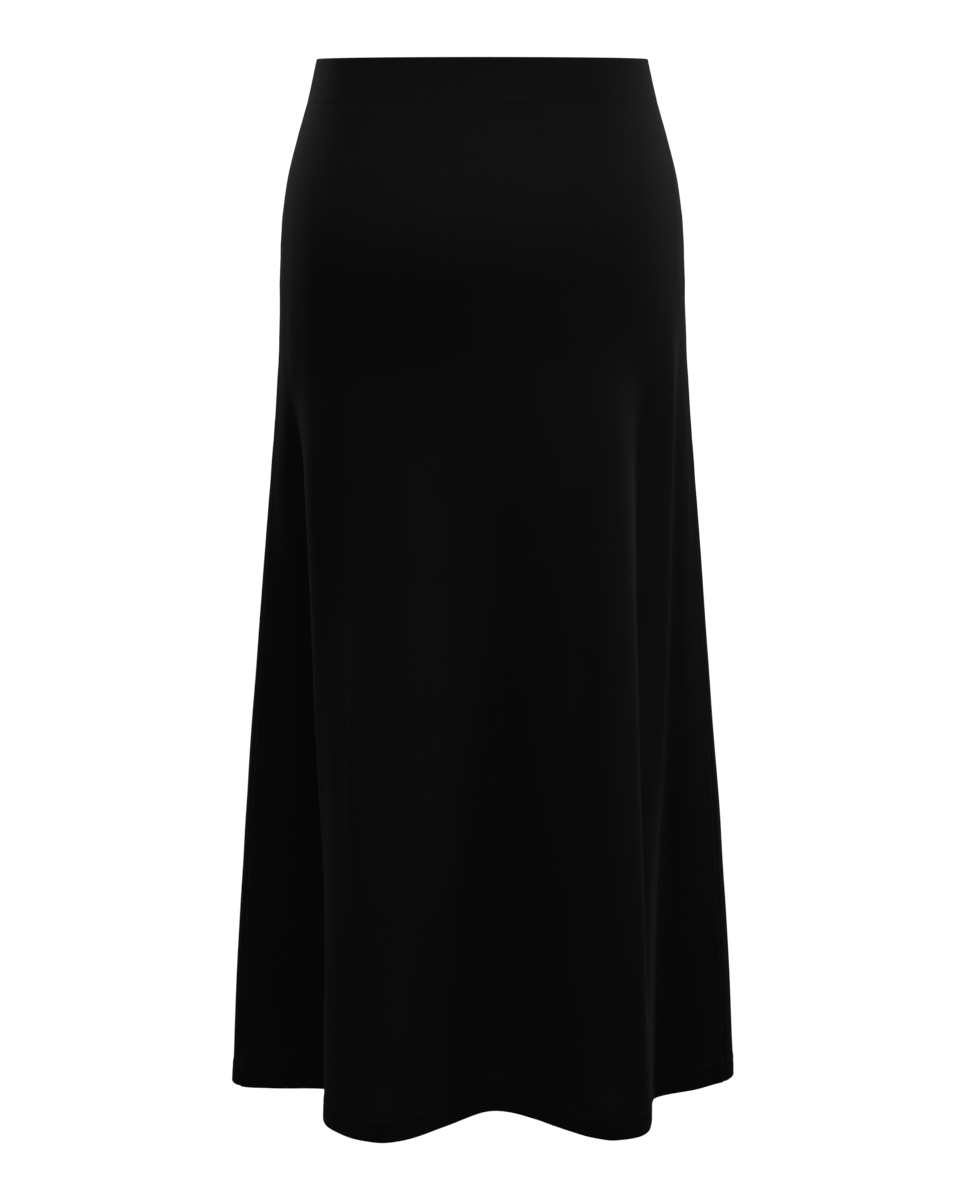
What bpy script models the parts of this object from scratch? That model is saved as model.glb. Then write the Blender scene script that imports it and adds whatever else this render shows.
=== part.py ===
"""A pull-on midi skirt in plain jersey, filled out as it is worn: a waistband, a back and a front panel.

Metres, +Z up. The origin is the middle of the waist opening, level with the waistband's top edge, and the
skirt hangs below it. -Y is the side that is seen, the back, and +Y is the front. The cloth is one thin wall:
down to the hips it follows a general rounded form, and below them it falls in straight lines to the hem,
whose plan is a loop through the crests and valleys of its folds.
"""

import math

import bmesh
import bpy
import numpy as np

# Driving sizes.
LENGTH = 0.886
WAISTBAND_HEIGHT = 0.037
WAISTBAND_WALL = 0.0024
CLOTH_WALL = 0.0014
HEM_WALL = 0.0026
HEM_TURN_UP = 0.020
HEM_STEP = 0.0015
SEAM_GAP = 0.0003
WAISTBAND_EDGE = 0.0020

# How the cloth leaves the hips: the share of the fall that it takes to start, and how soon it hangs upright.
SOFT_START = 0.06
HANG = 1.25
SECTION_SQUARENESS = 2.15

# The mesh's fineness.
BAND_COLUMNS = 96
PANEL_COLUMNS = 58
CURVE_STEPS = 48
TURN_WEIGHT = 0.035
SLOPE_STEP = 0.0015

# The rounded form inside the skirt, by drop below the top edge.
#         drop   half_width   back   front
FORM = (
    (0.000, 0.1378, 0.0930, 0.0900),
    (0.034, 0.1455, 0.0990, 0.0945),
    (0.067, 0.1545, 0.1075, 0.0995),
    (0.100, 0.1628, 0.1170, 0.1045),
    (0.135, 0.1675, 0.1255, 0.1085),
    (0.165, 0.1692, 0.1282, 0.1105),
    (0.200, 0.1702, 0.1262, 0.1110),
    (0.240, 0.1702, 0.1228, 0.1100),
    (0.300, 0.1702, 0.1222, 0.1090),
    (LENGTH, 0.1702, 0.1222, 0.1090),
)

HIP_ROW = 6

# The hem's plan, anticlockwise from the left seam. Each row is a crest, a valley or a turn of the edge.
# Heading is the way that the edge runs there, in degrees from +X, reach is how far it keeps to it, starts is
# the drop at which the fold begins, and lift is how far the hem rises.
#   name                    x       y      heading  reach  starts  lift
BACK_FOLDS = (
    ("left_seam", -0.2125, -0.0070, -48, 0.008, 0.205, 0.000),
    ("left_flute_face", -0.178, -0.015, 0, 0.022, 0.225, 0.000),
    ("left_inner_turn", -0.131, -0.024, -80, 0.010, 0.230, 0.000),
    ("left_flank", -0.134, -0.092, -92, 0.024, 0.240, 0.000),
    ("left_crest", -0.080, -0.160, 0, 0.034, 0.250, 0.000),
    ("centre_valley", 0.012, -0.086, 0, 0.026, 0.260, 0.003),
    ("right_crest", 0.108, -0.152, 0, 0.032, 0.250, 0.000),
    ("right_flank", 0.143, -0.096, 88, 0.024, 0.240, 0.000),
    ("right_inner_turn", 0.148, -0.046, 75, 0.010, 0.230, 0.000),
    ("right_flute_face", 0.182, -0.020, 30, 0.014, 0.215, 0.000),
)
FRONT_FOLDS = (
    ("right_seam", 0.2130, 0.0050, 52, 0.008, 0.190, 0.000),
    ("right_side_turn", 0.2220, 0.0280, 88, 0.010, 0.190, 0.000),
    ("right_front_dip", 0.166, 0.054, 168, 0.016, 0.230, 0.000),
    ("right_front_crest", 0.112, 0.146, 180, 0.026, 0.250, 0.000),
    ("front_valley_right", 0.038, 0.086, 180, 0.024, 0.260, 0.002),
    ("front_crest", -0.032, 0.148, 180, 0.024, 0.260, 0.000),
    ("front_valley_left", -0.092, 0.090, 180, 0.018, 0.260, 0.002),
    ("left_front_crest", -0.142, 0.132, 190, 0.018, 0.250, 0.000),
    ("left_front_dip", -0.176, 0.058, 200, 0.014, 0.230, 0.000),
    ("left_side_turn", -0.2205, 0.0140, -90, 0.010, 0.205, 0.000),
)

# Soft ridges and, with a height under nought, hollows that run down a panel. Places are shares of the panel's
# width from its first seam.
#   name                 panel    place_top  place_hem  top    bottom  half_width  height
RIDGES = (
    ("left_side_valley", "back", 0.098, 0.116, 0.24, 0.84, 0.013, -0.0080),
    ("left_lobe_edge", "back", 0.172, 0.195, 0.24, 0.84, 0.020, 0.0070),
    ("left_lobe_ridge", "back", 0.262, 0.326, 0.26, 0.84, 0.010, 0.0030),
    ("right_lobe_edge", "back", 0.756, 0.758, 0.24, 0.84, 0.015, 0.0050),
    ("right_side_valley", "back", 0.816, 0.822, 0.25, 0.84, 0.013, -0.0060),
    ("right_side_ridge", "back", 0.896, 0.836, 0.18, 0.78, 0.012, 0.0045),
)


def smooth_table(at, places, values):
    """A smooth curve through a table's values, read at the places asked for."""
    places = np.asarray(places, float)
    values = np.asarray(values, float)
    slopes = np.gradient(values, places)
    i = np.clip(np.searchsorted(places, at) - 1, 0, len(places) - 2)
    span = places[i + 1] - places[i]
    t = np.clip((at - places[i]) / span, 0.0, 1.0)
    start = (1 + 2 * t) * (1 - t) ** 2 * values[i] + t * (1 - t) ** 2 * span * slopes[i]
    end = t * t * (3 - 2 * t) * values[i + 1] - t * t * (1 - t) * span * slopes[i + 1]
    return start + end


def ease(t):
    """0 to 1 with level ends."""
    t = np.clip(t, 0.0, 1.0)
    return t * t * (3 - 2 * t)


def bezier(first, last):
    """Points of the folded edge between two rows of the fold tables, without the last one."""
    _, x0, y0, heading0, reach0, _, _ = first
    _, x1, y1, heading1, reach1, _, _ = last
    a, b = math.radians(heading0), math.radians(heading1)
    corners = np.array(
        [
            (x0, y0),
            (x0 + reach0 * math.cos(a), y0 + reach0 * math.sin(a)),
            (x1 - reach1 * math.cos(b), y1 - reach1 * math.sin(b)),
            (x1, y1),
        ]
    )
    t = np.arange(CURVE_STEPS)[:, None] / CURVE_STEPS
    weights = np.hstack([(1 - t) ** 3, 3 * t * (1 - t) ** 2, 3 * t * t * (1 - t), t**3])
    return weights @ corners


class Side:
    """One panel's half of the skirt: its hem edge and its half of the rounded form, by share of its width."""

    def __init__(self, name, folds, last, back):
        self.name = name
        self.back = back
        self.other = None
        self.trace_hem([*folds, last])
        self.trace_form()
        self.drops = np.linspace(0.0, LENGTH, 24)
        self.widths = [self.width_at(drop) for drop in self.drops]

    def trace_hem(self, rows):
        edge = np.vstack([*[bezier(a, b) for a, b in zip(rows, rows[1:])], [rows[-1][1:3]]])
        along = np.concatenate([[0.0], np.cumsum(np.linalg.norm(np.diff(edge, axis=0), axis=1))])
        self.hem_length = along[-1]
        self.hem_share = along / along[-1]
        self.hem_edge = edge
        self.row_share = self.hem_share[::CURVE_STEPS]
        self.row_starts = [row[5] for row in rows]
        self.row_lift = [row[6] for row in rows]
        heading = np.unwrap(np.arctan2(*np.gradient(edge, axis=0).T[::-1]))
        turned = np.concatenate([[0.0], np.cumsum(np.abs(np.diff(heading)))])
        self.busy = along + TURN_WEIGHT * turned

    def trace_form(self):
        """The turn round the form at which each share of the hips' half loop is reached."""
        _, half_width, back, front = FORM[HIP_ROW]
        turn = np.linspace(0.0, math.pi, 40 * CURVE_STEPS)
        x, y = self.form_point(turn, half_width, back, front)
        steps = np.hypot(np.diff(x), np.diff(y))
        self.turns = turn
        self.turn_share = np.concatenate([[0.0], np.cumsum(steps)]) / steps.sum()

    def form_point(self, turn, half_width, back, front):
        """A point of the form. The back half runs from left to right, and the front half back again."""
        power = SECTION_SQUARENESS
        c, s = np.cos(turn), np.sin(turn)
        round_off = (np.abs(c) ** power + np.abs(s) ** power) ** (-1 / power)
        if self.back:
            return -half_width * round_off * c, -back * round_off * s
        return half_width * round_off * c, front * round_off * s

    def columns(self, count):
        """Shares of the panel's width at which the mesh has columns, closest where the edge turns."""
        even = np.linspace(0.0, self.busy[-1], count + 1)
        return np.interp(even, self.busy, self.hem_share)

    def surface(self, share, drop):
        """Points of the cloth's outer face."""
        sizes = [
            smooth_table(drop, [row[0] for row in FORM], [row[k] for row in FORM]) for k in (1, 2, 3)
        ]
        x, y = self.form_point(np.interp(share, self.turn_share, self.turns), *sizes)
        starts = np.interp(share, self.row_share, self.row_starts)
        fallen = np.clip((drop - starts) / (LENGTH - starts), 0.0, 1.0)
        fallen = fallen * fallen / (fallen + SOFT_START) * (1 + SOFT_START)
        grown = 1 - (1 - fallen) ** HANG
        x = x + grown * (np.interp(share, self.hem_share, self.hem_edge[:, 0]) - x)
        y = y + grown * (np.interp(share, self.hem_share, self.hem_edge[:, 1]) - y)
        lift = np.interp(share, self.row_share, self.row_lift)
        return np.stack([x, y, -drop + lift * ease((drop - 0.5) / (LENGTH - 0.5))], axis=-1)

    def beside(self, share, drop):
        """Points of the outer face a little way past a seam too, where they lie on the other panel."""
        before = self.other.surface(1 + share, drop)
        after = self.other.surface(share - 1, drop)
        here = self.surface(np.clip(share, 0.0, 1.0), drop)
        return np.where((share < 0)[..., None], before, np.where((share > 1)[..., None], after, here))

    def outward(self, share, drop):
        """The way out of the cloth at each point."""
        width = SLOPE_STEP / self.hem_length
        up, down = np.maximum(drop - SLOPE_STEP, 0.0), np.minimum(drop + SLOPE_STEP, LENGTH)
        across = self.beside(share + width, drop) - self.beside(share - width, drop)
        fall = self.surface(share, down) - self.surface(share, up)
        out = np.cross(fall, across)
        return out / np.linalg.norm(out, axis=-1, keepdims=True)

    def width_at(self, drop):
        """The panel's width at one height, along the cloth."""
        share = np.linspace(0.0, 1.0, 10 * CURVE_STEPS)
        points = self.surface(share, np.full_like(share, drop))
        return np.linalg.norm(np.diff(points, axis=0), axis=1).sum()

    def ridge_height(self, share, drop):
        """How far the soft ridges lift the cloth at each point."""
        height = np.zeros_like(share)
        width = np.interp(drop, self.drops, self.widths)
        for _, panel, place_top, place_hem, top, bottom, half_width, most in RIDGES:
            if panel != self.name:
                continue
            place = place_top + (place_hem - place_top) * drop / LENGTH
            off = (share - place) * width / half_width
            fade = ease((drop - top) / 0.12) * ease((bottom - drop) / 0.20)
            height += most * fade * np.exp(-off * off)
        return height

    def cloth(self, share, drop, depth):
        """Points at a depth under the cloth's outer face, ridges and all."""
        lifted = self.ridge_height(share, drop) - depth
        return self.surface(share, drop) + self.outward(share, drop) * lifted[..., None]


def wall_at(drop):
    """The cloth's thickness: doubled by the turned-up hem."""
    turned_up = (drop - (LENGTH - HEM_TURN_UP - HEM_STEP)) / HEM_STEP
    return CLOTH_WALL + (HEM_WALL - CLOTH_WALL) * np.clip(turned_up, 0.0, 1.0)


def panel_drops():
    """The heights at which a panel has a row of points, closest where its form curves."""
    top = WAISTBAND_HEIGHT + SEAM_GAP
    over_hips = np.linspace(top, 0.30, 11)
    falling = np.linspace(0.30, LENGTH - HEM_TURN_UP - HEM_STEP, 11)[1:]
    hem = [LENGTH - HEM_TURN_UP, LENGTH]
    return np.concatenate([over_hips, falling, hem])


def mesh_object(name, grid, closed_round, material):
    """An object whose faces join the grid's columns. Each column is a closed profile, down one face and up
    the other, and the columns may close round too."""
    columns, points = grid.shape[:2]
    mesh = bpy.data.meshes.new(name)
    bm = bmesh.new()
    rows = [[bm.verts.new(p) for p in column] for column in grid]
    for i in range(columns if closed_round else columns - 1):
        here, after = rows[i], rows[(i + 1) % columns]
        for k in range(points):
            following = (k + 1) % points
            bm.faces.new((here[k], here[following], after[following], after[k]))
    for row in () if closed_round else (rows[0], rows[-1]):
        for k in range(points // 2 - 1):
            bm.faces.new((row[k], row[k + 1], row[points - 2 - k], row[points - 1 - k]))
    bmesh.ops.triangulate(bm, faces=bm.faces)
    bmesh.ops.recalc_face_normals(bm, faces=bm.faces)
    bm.to_mesh(mesh)
    bm.free()
    mesh.shade_smooth()
    mesh.set_sharp_from_angle(angle=math.radians(50))
    mesh.materials.append(material)
    made = bpy.data.objects.new(name, mesh)
    bpy.context.scene.collection.objects.link(made)
    return made


def make_panel(side, name, material):
    """A panel: down its outer face, round the hem's edge and up its inner face, at each column."""
    share, drop = np.meshgrid(side.columns(PANEL_COLUMNS), panel_drops(), indexing="ij")
    half_gap = SEAM_GAP / 2 / np.interp(drop, side.drops, side.widths)
    share = np.clip(share, half_gap, 1 - half_gap)
    outer = side.cloth(share, drop, np.zeros_like(drop))
    inner = side.cloth(share, drop, wall_at(drop))
    return mesh_object(name, np.concatenate([outer, inner[:, ::-1]], axis=1), False, material)


def make_waistband(sides, material):
    """The waistband: a doubled ring with a rounded top edge, all round the waist."""
    each = BAND_COLUMNS // len(sides)
    shares = np.arange(each) / each
    profile = [
        (WAISTBAND_HEIGHT, 0.0),
        (WAISTBAND_HEIGHT * 0.55, 0.0),
        (WAISTBAND_EDGE, 0.0),
        (WAISTBAND_EDGE * 0.25, WAISTBAND_WALL * 0.20),
        (0.0, WAISTBAND_WALL * 0.50),
        (WAISTBAND_EDGE * 0.25, WAISTBAND_WALL * 0.80),
        (WAISTBAND_EDGE, WAISTBAND_WALL),
        (WAISTBAND_HEIGHT * 0.55, WAISTBAND_WALL),
        (WAISTBAND_HEIGHT, WAISTBAND_WALL),
    ]
    share, point = np.meshgrid(shares, np.arange(len(profile)), indexing="ij")
    drop, depth = np.array(profile)[point].transpose(2, 0, 1)
    grid = np.concatenate([side.cloth(share, drop, depth) for side in sides])
    return mesh_object("waistband", grid, True, material)


def jersey(name, colour, roughness):
    """Plain matt cloth."""
    material = bpy.data.materials.new(name)
    material.use_nodes = True
    shader = material.node_tree.nodes["Principled BSDF"]
    shader.inputs["Base Color"].default_value = (*colour, 1.0)
    shader.inputs["Roughness"].default_value = roughness
    shader.inputs["Metallic"].default_value = 0.0
    return material


def main():
    for old in list(bpy.data.objects):
        bpy.data.objects.remove(old)
    back = Side("back", BACK_FOLDS, FRONT_FOLDS[0], back=True)
    front = Side("front", FRONT_FOLDS, BACK_FOLDS[0], back=False)
    back.other, front.other = front, back
    cloth = jersey("black_jersey", (0.010, 0.010, 0.011), 0.85)
    band_cloth = jersey("black_band_jersey", (0.011, 0.011, 0.012), 0.80)
    make_waistband((back, front), band_cloth)
    make_panel(back, "back_panel", cloth)
    make_panel(front, "front_panel", cloth)


main()
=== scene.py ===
"""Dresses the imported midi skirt: jersey panels, waistband, seams, twin-stitched hem and a plain studio.

Metres, +Z up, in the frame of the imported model. The origin is the middle of the waist opening, -Y is the
back, which is the side seen in the photograph, and +X is to the right there. Each panel is a fine closed
shell on the form of its solid: a rounded form down to the hips, and straight falls from there to a hem whose
plan is a loop through the crests and valleys of its folds.
"""

import math

import bpy
import numpy as np
from bpy.props import FloatProperty, FloatVectorProperty, IntProperty, PointerProperty
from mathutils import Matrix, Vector


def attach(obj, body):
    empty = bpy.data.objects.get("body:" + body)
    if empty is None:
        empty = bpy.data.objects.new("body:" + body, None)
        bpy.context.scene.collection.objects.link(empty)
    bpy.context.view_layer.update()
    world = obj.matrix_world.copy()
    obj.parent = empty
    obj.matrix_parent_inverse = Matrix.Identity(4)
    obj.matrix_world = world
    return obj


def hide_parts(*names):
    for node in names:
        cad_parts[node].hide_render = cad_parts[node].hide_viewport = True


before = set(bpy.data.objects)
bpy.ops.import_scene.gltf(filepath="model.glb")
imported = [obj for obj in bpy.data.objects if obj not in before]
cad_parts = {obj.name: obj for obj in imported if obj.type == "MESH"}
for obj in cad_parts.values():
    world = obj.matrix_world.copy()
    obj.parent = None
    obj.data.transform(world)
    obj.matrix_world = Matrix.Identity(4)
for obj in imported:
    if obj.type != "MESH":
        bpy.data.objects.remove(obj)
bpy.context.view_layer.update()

bl_info = {
    "name": "Midi Skirt",
    "version": (1, 0, 0),
    "blender": (4, 5, 0),
    "location": "View3D > Sidebar > Skirt",
    "description": "Builds the jersey, seams, hem and studio of a pull-on midi skirt",
    "category": "Object",
}

# How much of its fall the cloth takes to leave the hips, and how soon it then hangs upright.
SOFT_START = 0.06
HANG = 1.25
# How square the form's section is, where 2 is an oval, and the row of FORM at the hips.
SECTION_SQUARENESS = 2.15
HIP_ROW = 6
# Drops: where the hem's valleys begin to lift, where a panel's rows get wider apart, and where the waistband
# and the waist turning are measured round.
LIFT_START = 0.5
HIPS_END = 0.300
MID_BAND = 0.02
TURNING_DROP = 0.04
# How far a crease takes to rise and to fade out, and the height over the hem in which the rows are close.
CREASE_RISE = 0.12
CREASE_FADE = 0.20
NEAR_HEM = 0.046
# Steps of a curve between two rows of the fold tables, the width that a radian of turning counts for in the
# columns' spacing, and the distance over which slopes are taken.
CURVE_STEPS = 48
TURN_WEIGHT = 0.035
SLOPE_STEP = 0.0015
# Points across the lattice behind the cloth's unevenness, and where it is first read.
LATTICE = 97
LATTICE_START = 20.0
# Distances of the nearest columns and rows from the side and the waist seam.
BY_SIDE_SEAM = (0.0, 0.0004, 0.0009, 0.0015, 0.0022, 0.0030, 0.0042, 0.0056, 0.0072)
BY_WAIST_SEAM = (0.0, 0.0004, 0.0009, 0.0015, 0.0023, 0.0033, 0.0046, 0.0062)
# Usual widths of a panel and of half the waistband, which turn distances into shares.
PANEL_WIDTH = 0.45
BAND_WIDTH = 0.39
# The air between the hem's layers, and the length of an overlocking stitch.
HEM_GAP = 0.0002
OVERLOCK_STITCH = 0.0024
# The studio's floor, the bend at its edge and the rise of the dome over it.
FLOOR_REACH = 9.0
FLOOR_BEND = 1.2
DOME_RISE = 9.0
# Where the photograph was taken from and towards, and the lens in millimetres.
CAMERA_PLACE = (0.001, -2.6, -0.05)
CAMERA_AIM = (0.001, 0.0, -0.4565)
CAMERA_LENS = 92.2

# The rounded form inside the skirt, by drop below the top edge.
#    drop   half_width   back   front
FORM = (
    (0.000, 0.1378, 0.0930, 0.0900),
    (0.034, 0.1455, 0.0990, 0.0945),
    (0.067, 0.1545, 0.1075, 0.0995),
    (0.100, 0.1628, 0.1170, 0.1045),
    (0.135, 0.1675, 0.1255, 0.1085),
    (0.165, 0.1692, 0.1282, 0.1105),
    (0.200, 0.1702, 0.1262, 0.1110),
    (0.240, 0.1702, 0.1228, 0.1100),
    (0.300, 0.1702, 0.1222, 0.1090),
    (0.886, 0.1702, 0.1222, 0.1090),
)

# The hem's plan, anticlockwise from the left seam: heading is the way the edge runs, in degrees from +X,
# reach is how far it keeps to it, starts is the drop at which the fold begins, and lift is how far the hem
# rises.
#    name                    x       y      heading  reach  starts  lift
BACK_FOLDS = (
    ("left_seam", -0.2125, -0.0070, -48, 0.008, 0.205, 0.000),
    ("left_flute_face", -0.178, -0.015, 0, 0.022, 0.225, 0.000),
    ("left_inner_turn", -0.131, -0.024, -80, 0.010, 0.230, 0.000),
    ("left_flank", -0.134, -0.092, -92, 0.024, 0.240, 0.000),
    ("left_crest", -0.080, -0.160, 0, 0.034, 0.250, 0.000),
    ("centre_valley", 0.012, -0.086, 0, 0.026, 0.260, 0.003),
    ("right_crest", 0.108, -0.152, 0, 0.032, 0.250, 0.000),
    ("right_flank", 0.143, -0.096, 88, 0.024, 0.240, 0.000),
    ("right_inner_turn", 0.148, -0.046, 75, 0.010, 0.230, 0.000),
    ("right_flute_face", 0.182, -0.020, 30, 0.014, 0.215, 0.000),
)
FRONT_FOLDS = (
    ("right_seam", 0.2130, 0.0050, 52, 0.008, 0.190, 0.000),
    ("right_side_turn", 0.2220, 0.0280, 88, 0.010, 0.190, 0.000),
    ("right_front_dip", 0.166, 0.054, 168, 0.016, 0.230, 0.000),
    ("right_front_crest", 0.112, 0.146, 180, 0.026, 0.250, 0.000),
    ("front_valley_right", 0.038, 0.086, 180, 0.024, 0.260, 0.002),
    ("front_crest", -0.032, 0.148, 180, 0.024, 0.260, 0.000),
    ("front_valley_left", -0.092, 0.090, 180, 0.018, 0.260, 0.002),
    ("left_front_crest", -0.142, 0.132, 190, 0.018, 0.250, 0.000),
    ("left_front_dip", -0.176, 0.058, 200, 0.014, 0.230, 0.000),
    ("left_side_turn", -0.2205, 0.0140, -90, 0.010, 0.205, 0.000),
)

# The large ridges and hollows, fuller than in the solid, and the finer creases that run with them. Places
# are shares of the panel's width from its first seam. A height under nought is a hollow.
#    name                    panel   place_top  place_hem  top   bottom  half_width  height
CREASES = (
    ("left_side_valley", "back", 0.098, 0.116, 0.24, 0.84, 0.0130, -0.0080),
    ("left_lobe_edge", "back", 0.172, 0.195, 0.24, 0.72, 0.0180, 0.0060),
    ("left_lobe_ridge", "back", 0.262, 0.326, 0.26, 0.84, 0.0100, 0.0030),
    ("right_lobe_edge", "back", 0.715, 0.733, 0.20, 0.88, 0.0200, 0.0082),
    ("right_side_valley", "back", 0.815, 0.778, 0.22, 0.86, 0.0140, -0.0085),
    ("right_side_ridge", "back", 0.892, 0.834, 0.18, 0.72, 0.0130, 0.0055),
    ("left_flute_hollow", "back", 0.060, 0.052, 0.36, 0.87, 0.0120, -0.0014),
    ("left_lobe_line", "back", 0.262, 0.326, 0.34, 0.83, 0.0045, 0.0009),
    ("left_lobe_hollow", "back", 0.300, 0.366, 0.30, 0.87, 0.0110, -0.0010),
    ("left_middle_swell", "back", 0.392, 0.408, 0.30, 0.80, 0.0200, 0.0012),
    ("centre_left_line", "back", 0.474, 0.470, 0.44, 0.89, 0.0100, -0.0012),
    ("centre_right_swell", "back", 0.572, 0.596, 0.36, 0.78, 0.0140, 0.0010),
    ("right_lobe_hollow", "back", 0.668, 0.672, 0.40, 0.85, 0.0120, -0.0009),
    ("right_side_line", "back", 0.892, 0.834, 0.22, 0.68, 0.0060, 0.0009),
    ("right_flute_hollow", "back", 0.922, 0.905, 0.20, 0.84, 0.0130, -0.0045),
    ("front_right_line", "front", 0.205, 0.182, 0.24, 0.83, 0.0110, 0.0030),
    ("front_right_hollow", "front", 0.255, 0.236, 0.29, 0.87, 0.0140, -0.0022),
    ("front_right_crease", "front", 0.338, 0.322, 0.31, 0.79, 0.0055, 0.0013),
    ("front_valley_line", "front", 0.418, 0.404, 0.43, 0.88, 0.0100, -0.0014),
    ("front_middle_swell", "front", 0.512, 0.530, 0.28, 0.82, 0.0170, 0.0018),
    ("front_middle_line", "front", 0.586, 0.602, 0.36, 0.74, 0.0060, 0.0011),
    ("front_left_hollow", "front", 0.662, 0.668, 0.33, 0.87, 0.0120, -0.0016),
    ("front_left_crease", "front", 0.752, 0.772, 0.25, 0.85, 0.0080, 0.0022),
    ("front_left_line", "front", 0.836, 0.846, 0.40, 0.80, 0.0050, 0.0010),
)

# Small swells where the hem's stitching checks the fall of a fold: share of the width, height above the
# edge, half width, half height and how far each stands out.
#    panel   share   above   half_width  half_height  height
HEM_SWELLS = (
    ("back", 0.352, 0.0250, 0.0085, 0.0130, 0.0036),
    ("back", 0.531, 0.0240, 0.0065, 0.0090, 0.0026),
    ("back", 0.700, 0.0250, 0.0090, 0.0130, 0.0036),
    ("back", 0.068, 0.0240, 0.0080, 0.0100, 0.0012),
    ("back", 0.930, 0.0240, 0.0070, 0.0100, 0.0014),
    ("front", 0.212, 0.0320, 0.0090, 0.0110, 0.0012),
    ("front", 0.330, 0.0300, 0.0070, 0.0090, 0.0009),
    ("front", 0.538, 0.0330, 0.0080, 0.0120, 0.0013),
    ("front", 0.760, 0.0310, 0.0090, 0.0100, 0.0011),
)


def metres(name, description, default):
    return FloatProperty(name=name, description=description, default=default, unit="LENGTH", precision=5)


def watts(name, description, default):
    return FloatProperty(name=name, description=description, default=default, unit="POWER")


def paint(name, description, default):
    return FloatVectorProperty(name=name, description=description, default=default, size=3, subtype="COLOR")


class SkirtSizes(bpy.types.PropertyGroup):
    """The sizes a maker would change."""

    length: metres("Length", "Drop from the top edge to the hem", 0.886)
    band_height: metres("Waistband Height", "Height of the finished waistband", 0.037)
    band_wall: metres("Waistband Wall", "Thickness of the doubled band", 0.0024)
    cloth: metres("Cloth Thickness", "Thickness of one layer of jersey", 0.0011)
    turn_up: metres("Hem Turn-Up", "Height of the turned-up hem inside", 0.020)
    upper_row: metres("Upper Stitch Row", "Height of the upper row over the edge", 0.0185)
    lower_row: metres("Lower Stitch Row", "Height of the lower row over the edge", 0.0138)
    stitch: metres("Stitch Length", "Length of one stitch of the hem", 0.0029)
    thread: metres("Thread Radius", "Radius of the sewing thread", 0.00019)
    turning: metres("Seam Turning", "Width of the overlocked turnings inside", 0.0075)
    columns: IntProperty(name="Panel Columns", description="Columns of points across a panel", default=270)


class SkirtFinish(bpy.types.PropertyGroup):
    """The colours and the knit."""

    jersey: paint("Jersey", "Colour of the cloth", (0.0078, 0.0078, 0.0078))
    # The lighter colour: the dye's uneven tone, and also the painted highlight on the knit's loop tops.
    yarn_mottle_and_loop_highlight: paint("Lighter Yarn", "Colour of the loops' tops", (0.0140, 0.0140, 0.0140))
    thread: paint("Thread", "Colour of the sewing thread", (0.0092, 0.0092, 0.0092))
    sheen: FloatProperty(
        name="Sheen", description="Soft light on the cloth's edges", default=0.035, subtype="FACTOR"
    )
    wale: metres("Wale Width", "Width of one column of loops", 0.00075)
    course: metres("Course Height", "Height of one row of loops", 0.00055)


class SkirtStudio(bpy.types.PropertyGroup):
    """The floor, the backdrop and the lights."""

    floor: paint("Floor", "Colour of the floor and the backdrop", (0.93, 0.93, 0.93))
    floor_drop: metres("Floor Drop", "Depth of the floor below the waist", 2.3)
    ambient: FloatProperty(name="Ambient", description="Light from all round", default=0.075)
    overhead: watts("Overhead", "Power of the overhead light", 29.0)
    rims: watts("Rims", "Power of each light behind the sides", 0.42)
    fill: watts("Fill", "Power of each light beside the camera", 5.2)
    key: watts("Key", "Power of the narrow light on the right", 0.145)
    front: watts("Front", "Power of the light on the front", 9.0)


def smooth_table(at, places, values):
    """A smooth curve through a table's values, read at the places asked for."""
    places = np.asarray(places, float)
    values = np.asarray(values, float)
    slopes = np.gradient(values, places)
    i = np.clip(np.searchsorted(places, at) - 1, 0, len(places) - 2)
    span = places[i + 1] - places[i]
    t = np.clip((at - places[i]) / span, 0.0, 1.0)
    start = (1 + 2 * t) * (1 - t) ** 2 * values[i] + t * (1 - t) ** 2 * span * slopes[i]
    end = t * t * (3 - 2 * t) * values[i + 1] - t * t * (1 - t) * span * slopes[i + 1]
    return start + end


def ease(t):
    """0 to 1 with level ends."""
    t = np.clip(t, 0.0, 1.0)
    return t * t * (3 - 2 * t)


def bell(off, half_width):
    """1 in the middle, falling softly to 0 at about twice the half width."""
    return np.exp(-((off / half_width) ** 2))


def uneven(seed, x, y, cell_x, cell_y):
    """Soft unevenness from -1 to 1: set heights on a lattice, eased between, the same on each run."""
    heights = np.random.default_rng(seed).uniform(-1.0, 1.0, (LATTICE, LATTICE))
    gx = x / cell_x + LATTICE_START
    gy = y / cell_y + LATTICE_START
    i = np.floor(gx).astype(int)
    j = np.floor(gy).astype(int)
    fx = ease(gx - i)
    fy = ease(gy - j)
    i1, j1 = (i + 1) % LATTICE, (j + 1) % LATTICE
    i, j = i % LATTICE, j % LATTICE
    near = heights[i, j] * (1 - fx) + heights[i1, j] * fx
    far = heights[i, j1] * (1 - fx) + heights[i1, j1] * fx
    return near * (1 - fy) + far * fy


def bezier(first, last):
    """Points of the folded edge between two rows of the fold tables, without the last one."""
    _, x0, y0, heading0, reach0, _, _ = first
    _, x1, y1, heading1, reach1, _, _ = last
    a, b = math.radians(heading0), math.radians(heading1)
    corners = np.array(
        [
            (x0, y0),
            (x0 + reach0 * math.cos(a), y0 + reach0 * math.sin(a)),
            (x1 - reach1 * math.cos(b), y1 - reach1 * math.sin(b)),
            (x1, y1),
        ]
    )
    t = np.arange(CURVE_STEPS)[:, None] / CURVE_STEPS
    weights = np.hstack([(1 - t) ** 3, 3 * t * (1 - t) ** 2, 3 * t * t * (1 - t), t**3])
    return weights @ corners


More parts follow.
